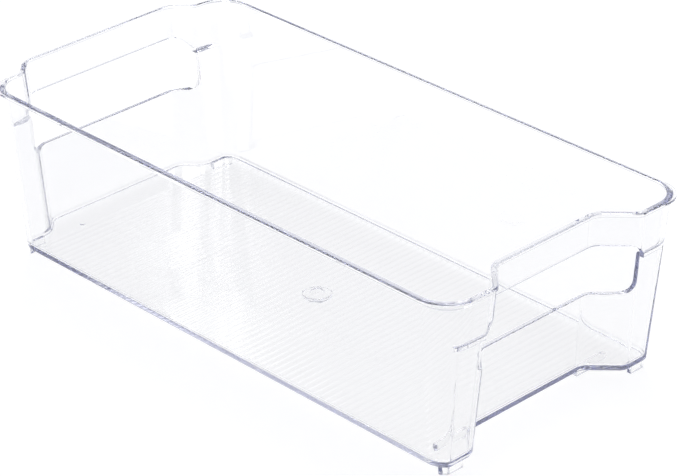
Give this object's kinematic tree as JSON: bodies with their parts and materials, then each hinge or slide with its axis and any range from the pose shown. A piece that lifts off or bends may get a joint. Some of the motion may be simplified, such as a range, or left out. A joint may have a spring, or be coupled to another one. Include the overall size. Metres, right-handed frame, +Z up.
{
  "type": "fridge bin",
  "caption": "Clear open-top stacking storage bin with drafted walls, a recessed front, a bulging back and a hand slot in each end.",
  "frame": {"origin": "middle of the bin's footprint, on the surface that its feet stand on", "axes": "+X along the length towards the recessed front end, +Y to the bin's left side, +Z up"},
  "size_m": [0.32, 0.155, 0.091],
  "materials": {
    "clear_plastic": "clear, polished, with a faint cool tint"
  },
  "bodies": {
    "root": {"floor_panel": "clear_plastic", "floor_ribs": "clear_plastic", "gate_pad": "clear_plastic", "right_side_wall": "clear_plastic", "left_side_wall": "clear_plastic", "front_handle_band": "clear_plastic", "front_bay_wall": "clear_plastic", "front_right_corner": "clear_plastic", "front_left_corner": "clear_plastic", "back_handle_band": "clear_plastic", "back_bay_wall": "clear_plastic", "back_right_corner": "clear_plastic", "back_left_corner": "clear_plastic", "right_rim": "clear_plastic", "left_rim": "clear_plastic", "front_rim": "clear_plastic", "front_right_rim_corner": "clear_plastic", "front_left_rim_corner": "clear_plastic", "back_rim": "clear_plastic", "back_right_rim_corner": "clear_plastic", "back_left_rim_corner": "clear_plastic", "corner_feet": "clear_plastic", "front_feet": "clear_plastic"}
  },
  "joints": []
}
